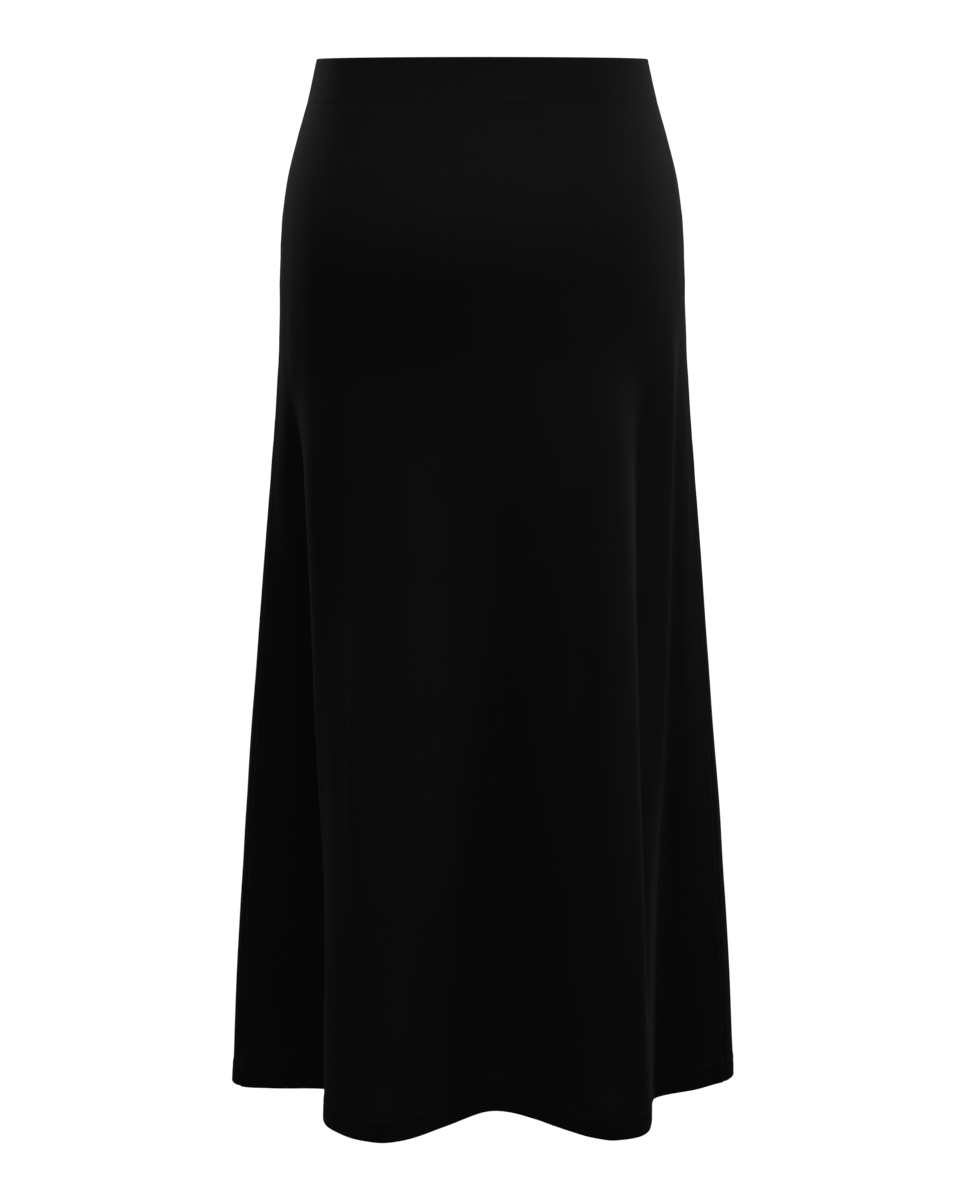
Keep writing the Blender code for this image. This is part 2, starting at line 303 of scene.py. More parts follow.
class Side:
    """One panel's half of the skirt: its hem edge and its half of the form, by share of its width."""

    def __init__(self, name, folds, last, sizes):
        self.name = name
        self.back = name == "back"
        self.sizes = sizes
        self.length = sizes.length
        self.other = None
        self.trace_hem([*folds, last])
        self.trace_form()
        self.drops = np.linspace(0.0, self.length, 24)
        self.widths = [self.width_at(drop) for drop in self.drops]

    def trace_hem(self, rows):
        edge = np.vstack([*[bezier(a, b) for a, b in zip(rows, rows[1:])], [rows[-1][1:3]]])
        along = np.concatenate([[0.0], np.cumsum(np.linalg.norm(np.diff(edge, axis=0), axis=1))])
        self.hem_length = along[-1]
        self.hem_share = along / along[-1]
        self.hem_edge = edge
        self.row_share = self.hem_share[::CURVE_STEPS]
        self.row_starts = [row[5] for row in rows]
        self.row_lift = [row[6] for row in rows]
        heading = np.unwrap(np.arctan2(*np.gradient(edge, axis=0).T[::-1]))
        turned = np.concatenate([[0.0], np.cumsum(np.abs(np.diff(heading)))])
        self.busy = along + TURN_WEIGHT * turned

    def trace_form(self):
        """The turn round the form at which each share of the hips' half loop is reached."""
        _, half_width, back, front = FORM[HIP_ROW]
        turn = np.linspace(0.0, math.pi, 40 * CURVE_STEPS)
        x, y = self.form_point(turn, half_width, back, front)
        steps = np.hypot(np.diff(x), np.diff(y))
        self.turns = turn
        self.turn_share = np.concatenate([[0.0], np.cumsum(steps)]) / steps.sum()

    def form_point(self, turn, half_width, back, front):
        """A point of the form. The back half runs from left to right, and the front half back again."""
        power = SECTION_SQUARENESS
        c, s = np.cos(turn), np.sin(turn)
        round_off = (np.abs(c) ** power + np.abs(s) ** power) ** (-1 / power)
        if self.back:
            return -half_width * round_off * c, -back * round_off * s
        return half_width * round_off * c, front * round_off * s

    def columns(self, count):
        """Shares of the width at which the mesh has columns, closest at the seams and the hem's turns."""
        even = np.linspace(0.0, self.busy[-1], count + 1)
        inner = np.interp(even, self.busy, self.hem_share)
        by_seam = np.array(BY_SIDE_SEAM) / PANEL_WIDTH
        inner = inner[(inner > by_seam[-1] * 1.2) & (inner < 1 - by_seam[-1] * 1.2)]
        return np.concatenate([by_seam, inner, 1 - by_seam[::-1]])

    def surface(self, share, drop):
        """Points of the solid's outer face, without its ridges."""
        rows = [row[0] for row in FORM]
        sizes = [smooth_table(drop, rows, [row[k] for row in FORM]) for k in (1, 2, 3)]
        x, y = self.form_point(np.interp(share, self.turn_share, self.turns), *sizes)
        starts = np.interp(share, self.row_share, self.row_starts)
        fallen = np.clip((drop - starts) / (self.length - starts), 0.0, 1.0)
        fallen = fallen * fallen / (fallen + SOFT_START) * (1 + SOFT_START)
        grown = 1 - (1 - fallen) ** HANG
        x = x + grown * (np.interp(share, self.hem_share, self.hem_edge[:, 0]) - x)
        y = y + grown * (np.interp(share, self.hem_share, self.hem_edge[:, 1]) - y)
        lift = np.interp(share, self.row_share, self.row_lift)
        lift = lift * ease((drop - LIFT_START) / (self.length - LIFT_START))
        return np.stack([x, y, -drop + lift], axis=-1)

    def beside(self, share, drop):
        """Points of the outer face a little way past a seam too, where they lie on the other panel."""
        before = self.other.surface(1 + share, drop)
        after = self.other.surface(share - 1, drop)
        here = self.surface(np.clip(share, 0.0, 1.0), drop)
        return np.where((share < 0)[..., None], before, np.where((share > 1)[..., None], after, here))

    def outward(self, share, drop):
        """The way out of the cloth at each point."""
        width = SLOPE_STEP / self.hem_length
        up, down = np.maximum(drop - SLOPE_STEP, 0.0), np.minimum(drop + SLOPE_STEP, self.length)
        across = self.beside(share + width, drop) - self.beside(share - width, drop)
        fall = self.surface(share, down) - self.surface(share, up)
        out = np.cross(fall, across)
        return out / np.linalg.norm(out, axis=-1, keepdims=True)

    def width_at(self, drop):
        """The panel's width at one height, along the cloth."""
        share = np.linspace(0.0, 1.0, 10 * CURVE_STEPS)
        points = self.surface(share, np.full_like(share, drop))
        return np.linalg.norm(np.diff(points, axis=0), axis=1).sum()

    def width(self, drop):
        return np.interp(drop, self.drops, self.widths)

    def from_seam(self, share, drop):
        """The distance from the nearer side seam."""
        return np.minimum(share, 1 - share) * self.width(drop)

    def share_from_seam(self, away, drop, first):
        """The share of the width at a distance from the panel's first seam, or else from its second."""
        share = away / self.width(drop)
        return share if first else 1 - share

    def creases(self, share, drop):
        """How far the ridges, hollows and creases lift the cloth."""
        height = np.zeros_like(share)
        width = self.width(drop)
        for _, panel, place_top, place_hem, top, bottom, half_width, most in CREASES:
            if panel != self.name:
                continue
            place = place_top + (place_hem - place_top) * drop / self.length
            fade = ease((drop - top) / CREASE_RISE) * ease((bottom - drop) / CREASE_FADE)
            height += most * fade * bell((share - place) * width, half_width)
        return height

    def drape(self, share, drop):
        """The cloth's own soft unevenness, longer down the skirt than across it."""
        across = (share - 0.5) * self.width(drop)
        seed = 11 if self.back else 23
        clear = ease(self.from_seam(share, drop) / 0.025) * ease((drop - 0.04) / 0.03)
        hanging = ease((drop - 0.26) / 0.25)
        long_waves = 0.0010 * hanging * uneven(seed, across, drop, 0.024, 0.30)
        short_waves = 0.00035 * uneven(seed + 1, across, drop, 0.013, 0.085)
        return clear * (long_waves + short_waves)

    def hem_relief(self, share, drop):
        """The doubled band of the hem, its stitched grooves, its pucker and the small swells over it."""
        sizes = self.sizes
        above = self.length - drop
        along = share * self.hem_length
        seed = 31 if self.back else 37
        doubled = 0.0006 * ease((sizes.turn_up + 0.0010 - above) / 0.0020)
        grooves = 0.00042 * (bell(above - sizes.upper_row, 0.0009) + bell(above - sizes.lower_row, 0.0009))
        pucker = 0.00028 * uneven(seed, along, drop, 0.0085, 0.30)
        pucker = pucker * bell(above - sizes.upper_row - 0.004, 0.0090)
        wavy_edge = 0.00035 * uneven(seed + 1, along, drop, 0.021, 0.30) * ease((0.016 - above) / 0.016)
        height = doubled - grooves + pucker + wavy_edge
        for panel, place, rise, half_width, half_height, most in HEM_SWELLS:
            if panel == self.name:
                reach = np.where(above > rise, half_height, 2.0 * half_height)
                off = (share - place) * self.hem_length
                height += most * bell(off, half_width) * bell(above - rise, reach)
        return height

    def seam_relief(self, share, drop):
        """The grooves at the side and waist seams, with the turnings' bulk beside them."""
        near = self.from_seam(share, drop)
        below = drop - self.sizes.band_height
        turnings = 0.00060 if self.back else 0.00015
        side_bulk = turnings * bell(near - 0.0045, 0.0032) * ease(below / 0.03)
        side_pucker = 0.00022 * uneven(41, drop, near, 0.011, 0.05) * bell(near, 0.010)
        side_groove = 0.00085 * bell(near, 0.0010)
        waist_bulk = 0.00006 * bell(below - 0.0045, 0.0036)
        waist_groove = 0.00008 * bell(below, 0.0009)
        return side_bulk + side_pucker - side_groove + waist_bulk - waist_groove

    def relief(self, share, drop):
        reliefs = (self.creases, self.drape, self.hem_relief, self.seam_relief)
        return sum(relief(share, drop) for relief in reliefs)

    def face(self, share, drop, lift=0.0):
        """Points on the finished cloth's outer face, or lifted off it. A lift under nought is inside it."""
        raised = self.relief(share, drop) + lift
        return self.surface(share, drop) + self.outward(share, drop) * raised[..., None]


def skirt_sides(sizes):
    """The back and the front."""
    back = Side("back", BACK_FOLDS, FRONT_FOLDS[0], sizes)
    front = Side("front", FRONT_FOLDS, BACK_FOLDS[0], sizes)
    back.other, front.other = front, back
    return back, front


def grid_normals(points):
    """The way out of a grid of points whose columns run down the cloth and whose rows run across it."""
    across = np.gradient(points, axis=0)
    fall = np.gradient(points, axis=1)
    out = np.cross(fall, across)
    return out / np.linalg.norm(out, axis=-1, keepdims=True)


def grid_faces(columns, rows, ring, closed):
    """Quads between the columns of a grid. A closed column joins its last row to its first, and a ring joins
    its last column to its first."""
    across, down = columns - (not ring), rows - (not closed)
    i, k = (way.ravel() for way in np.meshgrid(np.arange(across), np.arange(down), indexing="ij"))
    after, below = (i + 1) % columns, (k + 1) % rows
    return np.stack([i * rows + k, i * rows + below, after * rows + below, after * rows + k], axis=1)


def zip_faces(points, outer, inner):
    """Triangles that close a panel's cut edge between its outer and inner rows, both listed from the top and
    ending at the same point."""
    faces = []
    i = j = 0
    while i + j < len(outer) + len(inner) - 3:
        outer_next = i < len(outer) - 1 and (
            j == len(inner) - 1 or points[outer[i + 1]][2] >= points[inner[j + 1]][2]
        )
        if outer_next:
            faces.append((outer[i], outer[i + 1], inner[j]))
            i += 1
        else:
            faces.append((outer[i], inner[j + 1], inner[j]))
            j += 1
    return faces


def build_piece(name, points, faces, material, uv=None):
    """A smooth-shaded mesh object from points and faces, riding with the skirt."""
    mesh = bpy.data.meshes.new(name)
    mesh.from_pydata(points.reshape(-1, 3).tolist(), [], [list(map(int, face)) for face in faces])
    mesh.update()
    if uv is not None:
        corner = np.empty(len(mesh.loops), int)
        mesh.loops.foreach_get("vertex_index", corner)
        layer = mesh.uv_layers.new(name="cut")
        layer.data.foreach_set("uv", uv.reshape(-1, 2)[corner].ravel())
    mesh.shade_smooth()
    mesh.set_sharp_from_angle(angle=math.radians(60.0))
    mesh.materials.append(material)
    piece = bpy.data.objects.new(name, mesh)
    bpy.context.scene.collection.objects.link(piece)
    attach(piece, "root")
    return piece


def tube(path, out, radius, sides, closed=False):
    """Points and faces of a thread along a path, given the way out of the cloth at each point."""
    along = np.roll(path, -1, axis=0) - np.roll(path, 1, axis=0) if closed else np.gradient(path, axis=0)
    along /= np.linalg.norm(along, axis=1, keepdims=True)
    side = np.cross(along, out)
    side /= np.linalg.norm(side, axis=1, keepdims=True)
    up = np.cross(side, along)
    turn = np.arange(sides) * 2 * math.pi / sides
    ring = np.cos(turn)[None, :, None] * side[:, None] + np.sin(turn)[None, :, None] * up[:, None]
    points = path[:, None] + radius * ring
    faces = [tuple(face) for face in grid_faces(len(path), sides, closed, True)]
    if not closed:
        faces += end_caps(len(path), sides)
    return points.reshape(-1, 3), faces


def end_caps(rings, sides):
    """The faces that close the first and the last of a run of rings."""
    last = (rings - 1) * sides
    return [tuple(range(sides))[::-1], tuple(last + k for k in range(sides))]


def joined(parts):
    """Several lots of points and faces as one."""
    points, faces, count = [], [], 0
    for part_points, part_faces in parts:
        points.append(part_points)
        faces += [tuple(int(v) + count for v in face) for face in part_faces]
        count += len(part_points)
    return np.concatenate(points), faces


class Value:
    """A socket in a node tree, so that shader maths can be written as an expression."""

    def __init__(self, tree, socket):
        self.tree = tree
        self.socket = socket

    def maths(self, operation, *others):
        return self.tree.add("ShaderNodeMath", {"operation": operation}, dict(enumerate((self, *others))))

    def __add__(self, other):
        return self.maths("ADD", other)

    __radd__ = __add__

    def __mul__(self, other):
        return self.maths("MULTIPLY", other)

    __rmul__ = __mul__

    def __sub__(self, other):
        return self.maths("SUBTRACT", other)

    def __rsub__(self, other):
        return self * -1.0 + other

    def __truediv__(self, other):
        return self.maths("DIVIDE", other)

    def __abs__(self):
        return self.maths("ABSOLUTE")


class Tree:
    """A material's or the world's nodes, all of them added by one method."""

    def __init__(self, owner):
        owner.use_nodes = True
        self.nodes = owner.node_tree.nodes
        self.links = owner.node_tree.links
        self.nodes.clear()

    def add(self, kind, settings=(), sockets=(), output=0):
        """A new node of a kind, with its settings and its sockets' values or links. Gives one output."""
        node = self.nodes.new(kind)
        for name, value in dict(settings).items():
            setattr(node, name, value)
        for name, value in dict(sockets).items():
            if isinstance(value, Value):
                self.links.new(value.socket, node.inputs[name])
            else:
                node.inputs[name].default_value = value
        return Value(self, node.outputs[output]) if node.outputs else node

    def mixed(self, factor, first, second):
        """A colour between two."""
        return self.add("ShaderNodeMix", {"data_type": "RGBA"}, {0: factor, 6: first, 7: second}, 2)

    def noise(self, vector, scale, detail=2.0):
        return self.add("ShaderNodeTexNoise", {}, {"Vector": vector, "Scale": scale, "Detail": detail})

    def finish(self, sockets):
        """The surface, by its sockets, and the material's output."""
        shader = self.add("ShaderNodeBsdfPrincipled", {}, sockets)
        self.add("ShaderNodeOutputMaterial", {}, {"Surface": shader})


def jersey_material(name, finish, wale):
    """Matt black jersey: columns of small loops, with painted shade between the columns and a painted
    highlight on the loops' tops, a slightly mottled dye and a soft nap.
    """
    material = bpy.data.materials.new(name)
    tree = Tree(material)
    cut = tree.add("ShaderNodeUVMap", {"uv_map": "cut"})
    split = tree.add("ShaderNodeSeparateXYZ", {}, {0: cut})
    down = Value(tree, split.socket.node.outputs[1])
    in_wale = (split / wale).maths("FRACT")
    off = abs(in_wale - 0.5) * 2.0
    leg = down / finish.course + off * 0.5
    loops = (leg * (2 * math.pi)).maths("SINE") * 0.5 + 0.5
    body = 1.0 - off * off
    knit = body * 0.62 + loops * body * 0.38
    place = tree.add("ShaderNodeTexCoord", {}, {}, 3)
    slub = tree.noise(cut, 90.0, 3.0)
    fuzz = tree.noise(place, 2600.0)
    mottle = tree.noise(place, 320.0, 3.0)
    broad = tree.noise(place, 14.0)
    # The knit term paints shade between the wales and a highlight on the loops' tops; mottle, fuzz and broad
    # are the dye's uneven tone.
    lightness = knit * 0.30 + mottle * 0.45 + fuzz * 0.20 + broad * 0.25 - 0.10
    colour = tree.mixed(lightness, (*finish.jersey, 1.0), (*finish.yarn_mottle_and_loop_highlight, 1.0))
    rough = 0.80 + mottle * 0.10 + slub * 0.08 - knit * 0.05
    height = knit * 0.000055 + fuzz * 0.000030 + mottle * 0.000040 + slub * 0.000030
    bump = tree.add("ShaderNodeBump", {}, {"Strength": 0.55, "Distance": 1.0, "Height": height})
    nap = {"Specular IOR Level": 0.05, "Sheen Weight": finish.sheen, "Sheen Roughness": 0.42}
    tree.finish({"Base Color": colour, "Roughness": rough, "Normal": bump, **nap})
    return material


def thread_material(finish):
    """Spun sewing thread: a little shinier than the cloth, with a fine twist."""
    material = bpy.data.materials.new("black_sewing_thread")
    tree = Tree(material)
    place = tree.add("ShaderNodeTexCoord", {}, {}, 3)
    twist = tree.noise(place, 5200.0)
    colour = tree.mixed(twist, (*finish.thread, 1.0), (*finish.yarn_mottle_and_loop_highlight, 1.0))
    rough = 0.55 + twist * 0.15
    bump = tree.add("ShaderNodeBump", {}, {"Strength": 0.4, "Distance": 1.0, "Height": twist * 0.00004})
    nap = {"Specular IOR Level": 0.16, "Sheen Weight": finish.sheen, "Sheen Roughness": 0.4}
    tree.finish({"Base Color": colour, "Roughness": rough, "Normal": bump, **nap})
    return material


def knit(context, name="black_jersey_knit", narrowed=1.0):
    """The jersey under a name, made once. Its loops may be narrower than the cloth's."""
    finish = context.scene.skirt_finish
    return bpy.data.materials.get(name) or jersey_material(name, finish, finish.wale * narrowed)


def sewing_thread(context):
    return bpy.data.materials.get("black_sewing_thread") or thread_material(context.scene.skirt_finish)


def hem_wall(sizes):
    """The thickness of the turned-up hem."""
    return 2 * sizes.cloth + HEM_GAP


def outer_drops(sizes):
    """The heights of the rows down a panel's outer face, to where the hem's edge begins to round."""
    top, near_hem = sizes.band_height, sizes.length - NEAR_HEM
    by_waist = top + np.array(BY_WAIST_SEAM)
    over_hips = np.linspace(top + 0.0085, HIPS_END, 46)
    falling = np.linspace(HIPS_END, near_hem, 84)[1:]
    by_hem = np.linspace(near_hem, sizes.length - hem_wall(sizes) / 2, 44)[1:]
    return np.concatenate([by_waist, over_hips, falling, by_hem])


def panel_shell(side, sizes):
    """The points of a panel, in columns that run down its outer face, round the hem and up its inner face,
    with the place of each point in the flat cut and the row of the hem's lowest point."""
    edge = hem_wall(sizes) / 2
    shares = side.columns(sizes.columns)
    drops = outer_drops(sizes)
    share, drop = np.meshgrid(shares, drops, indexing="ij")
    outer = side.face(share, drop)
    out = grid_normals(outer)
    across = (share - 0.5) * side.width(drop)

    turn = np.linspace(0.0, math.pi, 10)[1:-1]
    fall = np.array([0.0, 0.0, -1.0])
    rolled = [
        outer[:, -1] - out[:, -1] * edge * (1 - math.cos(t)) + fall * edge * math.sin(t) for t in turn
    ]

    above = sizes.length - drops
    row = np.arange(len(drops))
    inner_rows = np.flatnonzero((above < NEAR_HEM) | (row % 3 == 0) | (row < len(BY_WAIST_SEAM)))[::-1]
    wave = 0.00025 * uneven(51 if side.back else 53, share * side.hem_length, drop, 0.016, 0.3)
    turned_up = 2 * edge + wave * ease((above - 0.004) / 0.012)
    inner = outer - out * np.where(above < sizes.turn_up, turned_up, sizes.cloth)[..., None]
    points = np.concatenate([outer, np.stack(rolled, axis=1), inner[:, inner_rows]], axis=1)

    around = np.repeat(across[:, -1:], len(turn), axis=1)
    sideways = np.concatenate([across, around, across[:, inner_rows]], axis=1)
    up = drops[-1] + edge * math.pi + (drops[-1] - drops[inner_rows])
    lengthways = np.concatenate([drops, drops[-1] + edge * turn, up])
    uv = np.stack([sideways, np.broadcast_to(lengthways, sideways.shape)], axis=-1)
    return points, uv, len(drops) + len(turn) // 2


def panel_piece(side, sizes, material):
    """One panel as a closed shell that stands for its solid."""
    points, uv, lowest = panel_shell(side, sizes)
    columns, rows = points.shape[:2]
    faces = grid_faces(columns, rows, False, True).tolist()
    flat = points.reshape(-1, 3)
    for start, reverse in ((0, False), ((columns - 1) * rows, True)):
        down = [start + k for k in range(lowest + 1)]
        up = [start + k for k in range(rows - 1, lowest - 1, -1)]
        caps = zip_faces(flat, down, up)
        faces += caps if not reverse else [face[::-1] for face in caps]
    piece = build_piece(f"{side.name}_panel_cloth", points, faces, material, uv)
    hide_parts(f"{side.name}_panel")


class SKIRT_OT_panels(bpy.types.Operator):
    """Make the back and the front panel, with their turned-up hems"""

    bl_idname = "skirt.panels"
    bl_label = "Panels"

    def execute(self, context):
        sizes = context.scene.skirt_sizes
        for side in skirt_sides(sizes):
            panel_piece(side, sizes, knit(context))
        return {"FINISHED"}


def band_profile(sizes):
    """The waistband's section as drop and depth, from its seam up the outside and down the inside."""
    height, wall = sizes.band_height, sizes.band_wall
    outside = np.concatenate([height - np.array([0.0, 0.0005, 0.0011, 0.0019, 0.0030, 0.0045]),
                              np.linspace(height - 0.0075, wall / 2, 14)])
    turn = np.linspace(0.0, math.pi, 12)[1:-1]
    inside = outside[::-1]
    drop = np.concatenate([outside, wall / 2 * (1 - np.sin(turn)), inside])
    depth = np.concatenate(
        [np.zeros(len(outside)), wall / 2 * (1 - np.cos(turn)), np.full(len(inside), wall)]
    )
    return drop, depth


def band_lift(side, share, drop, depth, sizes):
    """The waistband's own relief: its seam, the elastic's slight ripple and the join at the left side."""
    above = sizes.band_height - drop
    along = share * side.width(drop)
    seed = 61 if side.back else 67
    ripple = 0.00016 * uneven(seed, along, drop, 0.0075, 0.022)
    ripple += 0.00030 * uneven(seed + 1, along, drop, 0.034, 0.05)
    clear = ease(side.from_seam(share, drop) / 0.012) * ease(drop / 0.006)
    groove = 0.00008 * bell(above, 0.0009) - 0.00003 * bell(above - 0.0040, 0.0030)
    left = along if side.back else side.width(drop) - along
    join = 0.00045 * bell(left, 0.0007)
    outside = ripple * clear - groove - join
    inside = depth > sizes.band_wall * 0.5
    return np.where(inside, 0.6 * ripple * clear, outside)


def band_piece(sides, sizes, material):
    """The waistband: one doubled ring all round."""
    drop, depth = band_profile(sizes)
    grids, cuts, start = [], [], 0.0
    near_seam = np.array([0.0006, 0.0013, 0.0021]) / BAND_WIDTH
    shares = np.sort(np.concatenate([np.linspace(0.0, 1.0, 200, endpoint=False), near_seam, 1 - near_seam]))
    share, down = np.meshgrid(shares, drop, indexing="ij")
    along = np.cumsum(np.abs(np.diff(drop, prepend=drop[0])) + np.abs(np.diff(depth, prepend=depth[0])))
    deep = np.broadcast_to(depth, share.shape)
    for side in sides:
        lift = band_lift(side, share, down, deep, sizes) - deep
        grids.append(side.surface(share, down) + side.outward(share, down) * lift[..., None])
        width = side.width(MID_BAND)
        cuts.append(np.stack([start + share * width, np.broadcast_to(along, share.shape)], axis=-1))
        start += width
    points = np.concatenate(grids)
    uv = np.concatenate(cuts)
    faces = grid_faces(len(points), len(drop), True, True)[:, ::-1]
    piece = build_piece("waistband_cloth", points, faces, material, uv)
    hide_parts("waistband")


class SKIRT_OT_waistband(bpy.types.Operator):
    """Make the elasticated waistband"""

    bl_idname = "skirt.waistband"
    bl_label = "Waistband"

    def execute(self, context):
        sizes = context.scene.skirt_sizes
        band_piece(skirt_sides(sizes), sizes, knit(context, "black_waistband_knit", 0.92))
        return {"FINISHED"}


def hem_stitch_count(sides, stitch):
    """How many stitches go all round the hem, and the exact length of each."""
    whole = sum(side.hem_length for side in sides)
    count = int(round(whole / stitch))
    return count, whole / count


def stitched(count, within):
    """Places along a row of stitches, counted in stitches, from those within each."""
    return (np.arange(count)[:, None] + np.array(within)).ravel()


def on_both(sides, along, above, lift):
    """Points and the way out, at distances along the whole hem and heights above its edge."""
    back, front = sides
    points = np.empty((len(along), 3))
    out = np.empty((len(along), 3))
    whole = back.hem_length + front.hem_length
    along = along % whole
    on_back = along < back.hem_length
    for side, chosen, start in ((back, on_back, 0.0), (front, ~on_back, back.hem_length)):
        share = (along[chosen] - start) / side.hem_length
        drop = side.length - above[chosen]
        points[chosen] = side.face(share, drop, lift[chosen])
        out[chosen] = side.outward(share, drop)
    return points, out


def needle_row(sides, sizes, above, shift):
    """One row of the hem's stitches: a thread that lies on the cloth and dips into it between stitches."""
    count, step = hem_stitch_count(sides, sizes.stitch)
    along = stitched(count, (0.00, 0.10, 0.24, 0.50, 0.76, 0.90)) * step + shift
    lift = np.tile((-0.00050, -0.00002, 0.00016, 0.00022, 0.00016, -0.00002), count)
    points, out = on_both(sides, along, np.full(len(along), above), lift)
    return tube(points, out, sizes.thread, 6, closed=True)


def looper_row(sides, sizes):
    """The thread under the hem, which crosses from row to row at each stitch."""
    count, step = hem_stitch_count(sides, sizes.stitch)
    upper, lower = sizes.upper_row, sizes.lower_row
    along = stitched(count, (0.00, 0.22, 0.50, 0.72)) * step
    above = np.tile((upper + 0.0006, upper - 0.0012, lower - 0.0006, lower + 0.0012), count)
    lift = np.full(len(along), -hem_wall(sizes) - HEM_GAP)
    points, out = on_both(sides, along, above, lift)
    return tube(points, out, sizes.thread * 1.1, 5, closed=True)


class SKIRT_OT_hem_stitching(bpy.types.Operator):
    """Sew the hem: two rows of stitches outside and the crossing thread inside"""

    bl_idname = "skirt.hem_stitching"
    bl_label = "Hem Stitching"

    def execute(self, context):
        sizes = context.scene.skirt_sizes
        sides = skirt_sides(sizes)
        rows = [
            needle_row(sides, sizes, sizes.upper_row, 0.0),
            needle_row(sides, sizes, sizes.lower_row, sizes.stitch / 2),
        ]
        thread = sewing_thread(context)
        for name, parts in (("hem_stitches", rows), ("hem_under_thread", [looper_row(sides, sizes)])):
            piece = build_piece(name, *joined(parts), thread)
        return {"FINISHED"}


def turning_section(sizes):
    """A pressed turning's section: each point's distance from the seam and depth under the cloth's face."""
    width, cloth = sizes.turning, sizes.cloth
    over = ((0.0, 0.0), (width * 0.5, 0.0), (width - 0.0005, 0.0), (width, 0.0005))
    edge = ((width - 0.0001, 0.95 * cloth), (width, 1.4 * cloth), (width - 0.0005, 1.9 * cloth))
    under = ((width * 0.5, 1.9 * cloth), (0.0006, 1.8 * cloth), (0.0, cloth))
    return np.array(over + edge + under) + (0.0, cloth + 0.00005)


def loosened(away, deep, sizes, seed, place, cell):
    """How loose a turning is, which grows towards its edge, and the depth at which it lies."""
    loose = ease(away / sizes.turning)
    return loose, deep + 0.0004 * loose * (1 + uneven(seed, place, place, cell, 1.0))


def side_turning(side, sizes, first):
    """The side seam's turning, pressed towards the back panel."""
    section = turning_section(sizes)
    top = sizes.band_height + sizes.turning + 0.001
    drops = np.linspace(top, sizes.length - sizes.turn_up + 0.002, 150)
    drop, part = np.meshgrid(drops, np.arange(len(section)), indexing="ij")
    away, deep = section[part].transpose(2, 0, 1)
    seed = 71 if first else 73
    loose, deep = loosened(away, deep, sizes, seed, drop, 0.014)
    away = away + 0.0003 * loose * uneven(seed + 1, drop, drop, 0.010, 1.0)
    points = side.face(side.share_from_seam(away, drop, first), drop, -deep)
    faces = grid_faces(len(drops), len(section), False, True).tolist()
    return points.reshape(-1, 3), faces + end_caps(len(drops), len(section))


def waist_turning(sides, sizes):
    """The waist seam's turning, a ring that lies down inside the panels."""
    section = turning_section(sizes)
    grids = []
    for side in sides:
        shares = np.linspace(0.0, 1.0, 170, endpoint=False)
        share, part = np.meshgrid(shares, np.arange(len(section)), indexing="ij")
        away, deep = section[part].transpose(2, 0, 1)
        seed = 81 if side.back else 83
        _, deep = loosened(away, deep, sizes, seed, share * side.width(TURNING_DROP), 0.012)
        grids.append(side.face(share, sizes.band_height - 0.0002 + away, -deep))
    points = np.concatenate(grids)
    faces = grid_faces(len(points), len(section), True, True)[:, ::-1]
    return points.reshape(-1, 3), faces.tolist()


def overlock_stitch(sizes):
    """The overlocking's thread in one stitch, over the turning and round its edge: its points' distances
    from the seam and their depths."""
    width = sizes.turning
    away = (0.0036, width * 0.8, width + 0.0002, width * 0.8, 0.0040)
    lowest = turning_section(sizes)[:, 1].max()
    return away, np.array((0.0001, 0.0006, 0.0003, 0.0006, 0.0001)) + lowest


def side_overlock(side, sizes, first):
    """The overlocking on a side seam's turning."""
    top = sizes.band_height + sizes.turning + 0.002
    count = int((sizes.length - sizes.turn_up - top) / OVERLOCK_STITCH)
    away, deep = (np.tile(part, count) for part in overlock_stitch(sizes))
    drop = top + stitched(count, (0.0, 0.25, 0.5, 0.75, 0.9)) * OVERLOCK_STITCH
    share = side.share_from_seam(away, drop, first)
    return tube(side.face(share, drop, -deep), side.outward(share, drop), sizes.thread, 5)


def waist_overlock(sides, sizes):
    """The overlocking on the waist seam's turning, all round."""
    paths, outs = [], []
    for side in sides:
        count = int(side.width(TURNING_DROP) / OVERLOCK_STITCH)
        away, deep = (np.tile(part, count) for part in overlock_stitch(sizes))
        share = stitched(count, (0.0, 0.3, 0.5, 0.7, 0.9)) / count
        drop = sizes.band_height + away
        paths.append(side.face(share, drop, -deep))
        outs.append(side.outward(share, drop))
    return tube(np.concatenate(paths), np.concatenate(outs), sizes.thread, 5, closed=True)


class SKIRT_OT_seam_turnings(bpy.types.Operator):
    """Finish the seams inside: pressed turnings with overlocked edges"""

    bl_idname = "skirt.seam_turnings"
    bl_label = "Seam Turnings"

    def execute(self, context):
        sizes = context.scene.skirt_sizes
        sides = skirt_sides(sizes)
        back = sides[0]
        cloth, thread = knit(context), sewing_thread(context)
        turnings = (
            ("left_seam_turning", side_turning(back, sizes, True), cloth),
            ("right_seam_turning", side_turning(back, sizes, False), cloth),
            ("waist_seam_turning", waist_turning(sides, sizes), cloth),
            ("left_seam_overlock", side_overlock(back, sizes, True), thread),
            ("right_seam_overlock", side_overlock(back, sizes, False), thread),
            ("waist_seam_overlock", waist_overlock(sides, sizes), thread),
        )
        for name, (points, faces), material in turnings:
            piece = build_piece(name, points, faces, material)
        return {"FINISHED"}


class SKIRT_OT_cut(bpy.types.Operator):
    """Reckon the flat area of each panel and the width of the waistband, keeping neither"""

    bl_idname = "skirt.cut"
    bl_label = "Cut"

    def execute(self, context):
        sizes = context.scene.skirt_sizes
        sides = skirt_sides(sizes)
        hem = ["hem_stitches", "hem_under_thread"]
        seams = [f"{edge}_seam_{part}" for edge in ("left", "right") for part in ("turning", "overlock")]
        drops = np.linspace(sizes.band_height, sizes.length, 120)
        for side, sewn in zip(sides, (hem + seams, hem)):
            area = float(np.trapz(side.width(drops), drops))
        float(sum(side.width(MID_BAND) for side in sides))
        return {"FINISHED"}


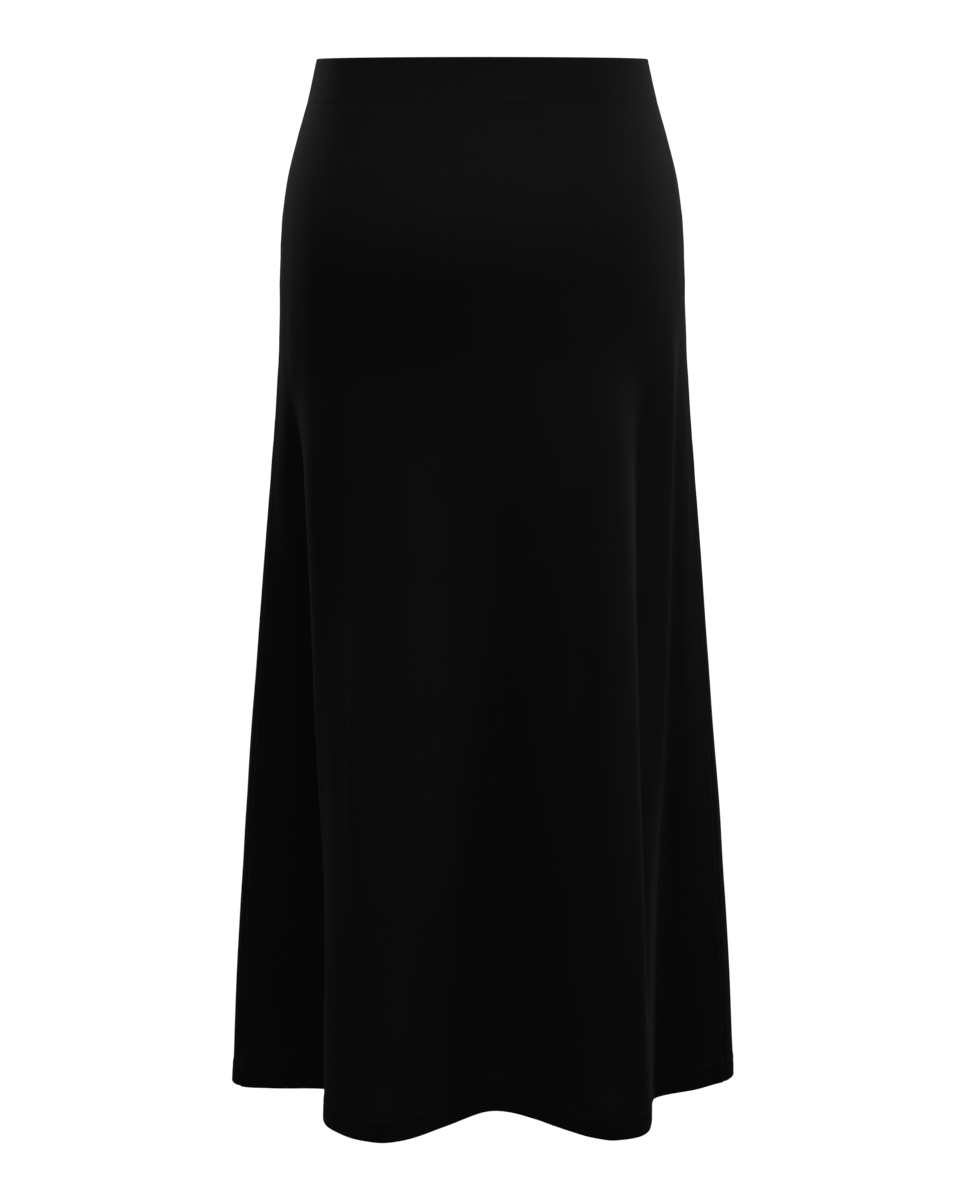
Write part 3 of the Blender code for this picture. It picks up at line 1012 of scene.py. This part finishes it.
def area_light(name, place, aim, size, power, spread=180.0):
    """A soft rectangular light that the camera doesn't see. A narrow spread is that of a grid on it."""
    data = bpy.data.lights.new(name, "AREA")
    data.shape = "RECTANGLE"
    data.size, data.size_y = size
    data.energy = power
    data.spread = math.radians(spread)
    lamp = bpy.data.objects.new(name, data)
    lamp.location = place
    lamp.rotation_euler = (Vector(aim) - Vector(place)).to_track_quat("-Z", "Y").to_euler()
    lamp.visible_camera = False
    bpy.context.scene.collection.objects.link(lamp)


def backdrop_material(studio):
    """Matt pale paper, lit evenly so that it reads as plain white."""
    material = bpy.data.materials.new("pale_paper")
    tree = Tree(material)
    grain = tree.noise(tree.add("ShaderNodeTexCoord", {}, {}, 3), 40.0)
    colour = tree.mixed(grain, (*studio.floor, 1.0), (*[c * 0.985 for c in studio.floor], 1.0))
    glow = {"Emission Color": (1.0, 1.0, 1.0, 1.0), "Emission Strength": 1.0}
    tree.finish({"Base Color": colour, "Roughness": 0.9, "Specular IOR Level": 0.1, **glow})
    return material


def studio_dome(studio):
    """The floor and the backdrop in one: flat, then a bend, then a dome. It lights nothing and takes no
    shadow."""
    steps = 96
    turn = np.arange(steps)[:, None] * 2 * math.pi / steps
    bend = np.linspace(0.0, math.pi / 2, 8)[1:]
    dome = np.linspace(0.0, math.pi / 2, 14)[1:]
    wide = FLOOR_REACH + FLOOR_BEND
    reach = np.concatenate([[0.001, 3.0, 7.5], FLOOR_REACH + FLOOR_BEND * np.sin(bend), wide * np.cos(dome)])
    reach[-1] = 0.001
    over = FLOOR_BEND + DOME_RISE * np.sin(dome)
    height = np.concatenate([np.zeros(3), FLOOR_BEND * (1 - np.cos(bend)), over]) - studio.floor_drop
    height = np.broadcast_to(height, (steps, len(reach)))
    points = np.stack([np.cos(turn) * reach, np.sin(turn) * reach, height], axis=-1)
    mesh = bpy.data.meshes.new("studio_floor")
    mesh.from_pydata(points.reshape(-1, 3).tolist(), [], grid_faces(steps, len(reach), True, False).tolist())
    mesh.shade_smooth()
    mesh.materials.append(backdrop_material(studio))
    floor = bpy.data.objects.new("studio_floor", mesh)
    bpy.context.scene.collection.objects.link(floor)
    floor.visible_diffuse = False
    floor.visible_glossy = False
    floor.visible_shadow = False


class SKIRT_OT_stage(bpy.types.Operator):
    """Set the plain floor, the backdrop, the soft lights and the camera"""

    bl_idname = "skirt.stage"
    bl_label = "Stage"

    def execute(self, context):
        scene = context.scene
        studio = scene.skirt_studio
        studio_dome(studio)
        world = bpy.data.worlds.new("studio_air")
        scene.world = world
        tree = Tree(world)
        air = {"Color": (1.0, 1.0, 1.0, 1.0), "Strength": studio.ambient}
        tree.add("ShaderNodeOutputWorld", {}, {"Surface": tree.add("ShaderNodeBackground", {}, air)})

        hips, knees = (0.0, 0.0, -0.11), (0.0, 0.0, -0.6)
        area_light("overhead_light", (0.15, -0.45, 1.9), (0.0, 0.0, -0.3), (1.3, 1.2), studio.overhead)
        area_light("left_rim_light", (-0.95, 0.85, 0.46), hips, (0.45, 0.4), studio.rims * 0.84, 40.0)
        area_light("right_rim_light", (1.05, 0.72, 0.42), hips, (0.65, 0.4), studio.rims * 0.87, 34.0)
        area_light("left_fill_light", (-1.4, -2.4, -0.5), knees, (1.2, 1.8), studio.fill * 1.15)
        area_light("right_fill_light", (1.9, -2.0, -0.5), knees, (1.2, 1.8), studio.fill * 0.6)
        area_light("right_key_light", (2.3, -0.6, -0.1), (0.1, -0.1, -0.36), (0.4, 0.5), studio.key, 24.0)
        area_light("front_light", (0.2, 2.6, -0.25), (0.0, 0.0, -0.65), (1.6, 1.6), studio.front)

        camera_data = bpy.data.cameras.new("photo_camera")
        camera_data.lens = CAMERA_LENS
        camera_data.sensor_width = 36.0
        camera = bpy.data.objects.new("photo_camera", camera_data)
        camera.location = CAMERA_PLACE
        camera.rotation_euler = (Vector(CAMERA_AIM) - camera.location).to_track_quat("-Z", "Y").to_euler()
        scene.collection.objects.link(camera)
        scene.camera = camera
        scene.view_settings.view_transform = "Standard"
        return {"FINISHED"}


class SKIRT_PT_sidebar(bpy.types.Panel):
    """The skirt's steps, sizes and finishes"""

    bl_idname = "SKIRT_PT_sidebar"
    bl_label = "Midi Skirt"
    bl_space_type = "VIEW_3D"
    bl_region_type = "UI"
    bl_category = "Skirt"

    def draw(self, context):
        column = self.layout.column()
        for operator in OPERATORS:
            column.operator(operator.bl_idname)
        for group in (context.scene.skirt_sizes, context.scene.skirt_finish, context.scene.skirt_studio):
            box = self.layout.box()
            for name in group.__annotations__:
                box.prop(group, name)


OPERATORS = (
    SKIRT_OT_stage,
    SKIRT_OT_panels,
    SKIRT_OT_waistband,
    SKIRT_OT_hem_stitching,
    SKIRT_OT_seam_turnings,
    SKIRT_OT_cut,
)
GROUPS = (("skirt_sizes", SkirtSizes), ("skirt_finish", SkirtFinish), ("skirt_studio", SkirtStudio))
CLASSES = (*[group for _, group in GROUPS], *OPERATORS, SKIRT_PT_sidebar)


def register():
    for cls in CLASSES:
        bpy.utils.register_class(cls)
    for name, group in GROUPS:
        setattr(bpy.types.Scene, name, PointerProperty(type=group))


def unregister():
    for name, _ in GROUPS:
        delattr(bpy.types.Scene, name)
    for cls in reversed(CLASSES):
        bpy.utils.unregister_class(cls)


def main():
    register()
    bpy.ops.skirt.stage()
    bpy.ops.skirt.panels()
    bpy.ops.skirt.waistband()
    bpy.ops.skirt.hem_stitching()
    bpy.ops.skirt.seam_turnings()
    bpy.ops.skirt.cut()


if __name__ == "__main__":
    main()
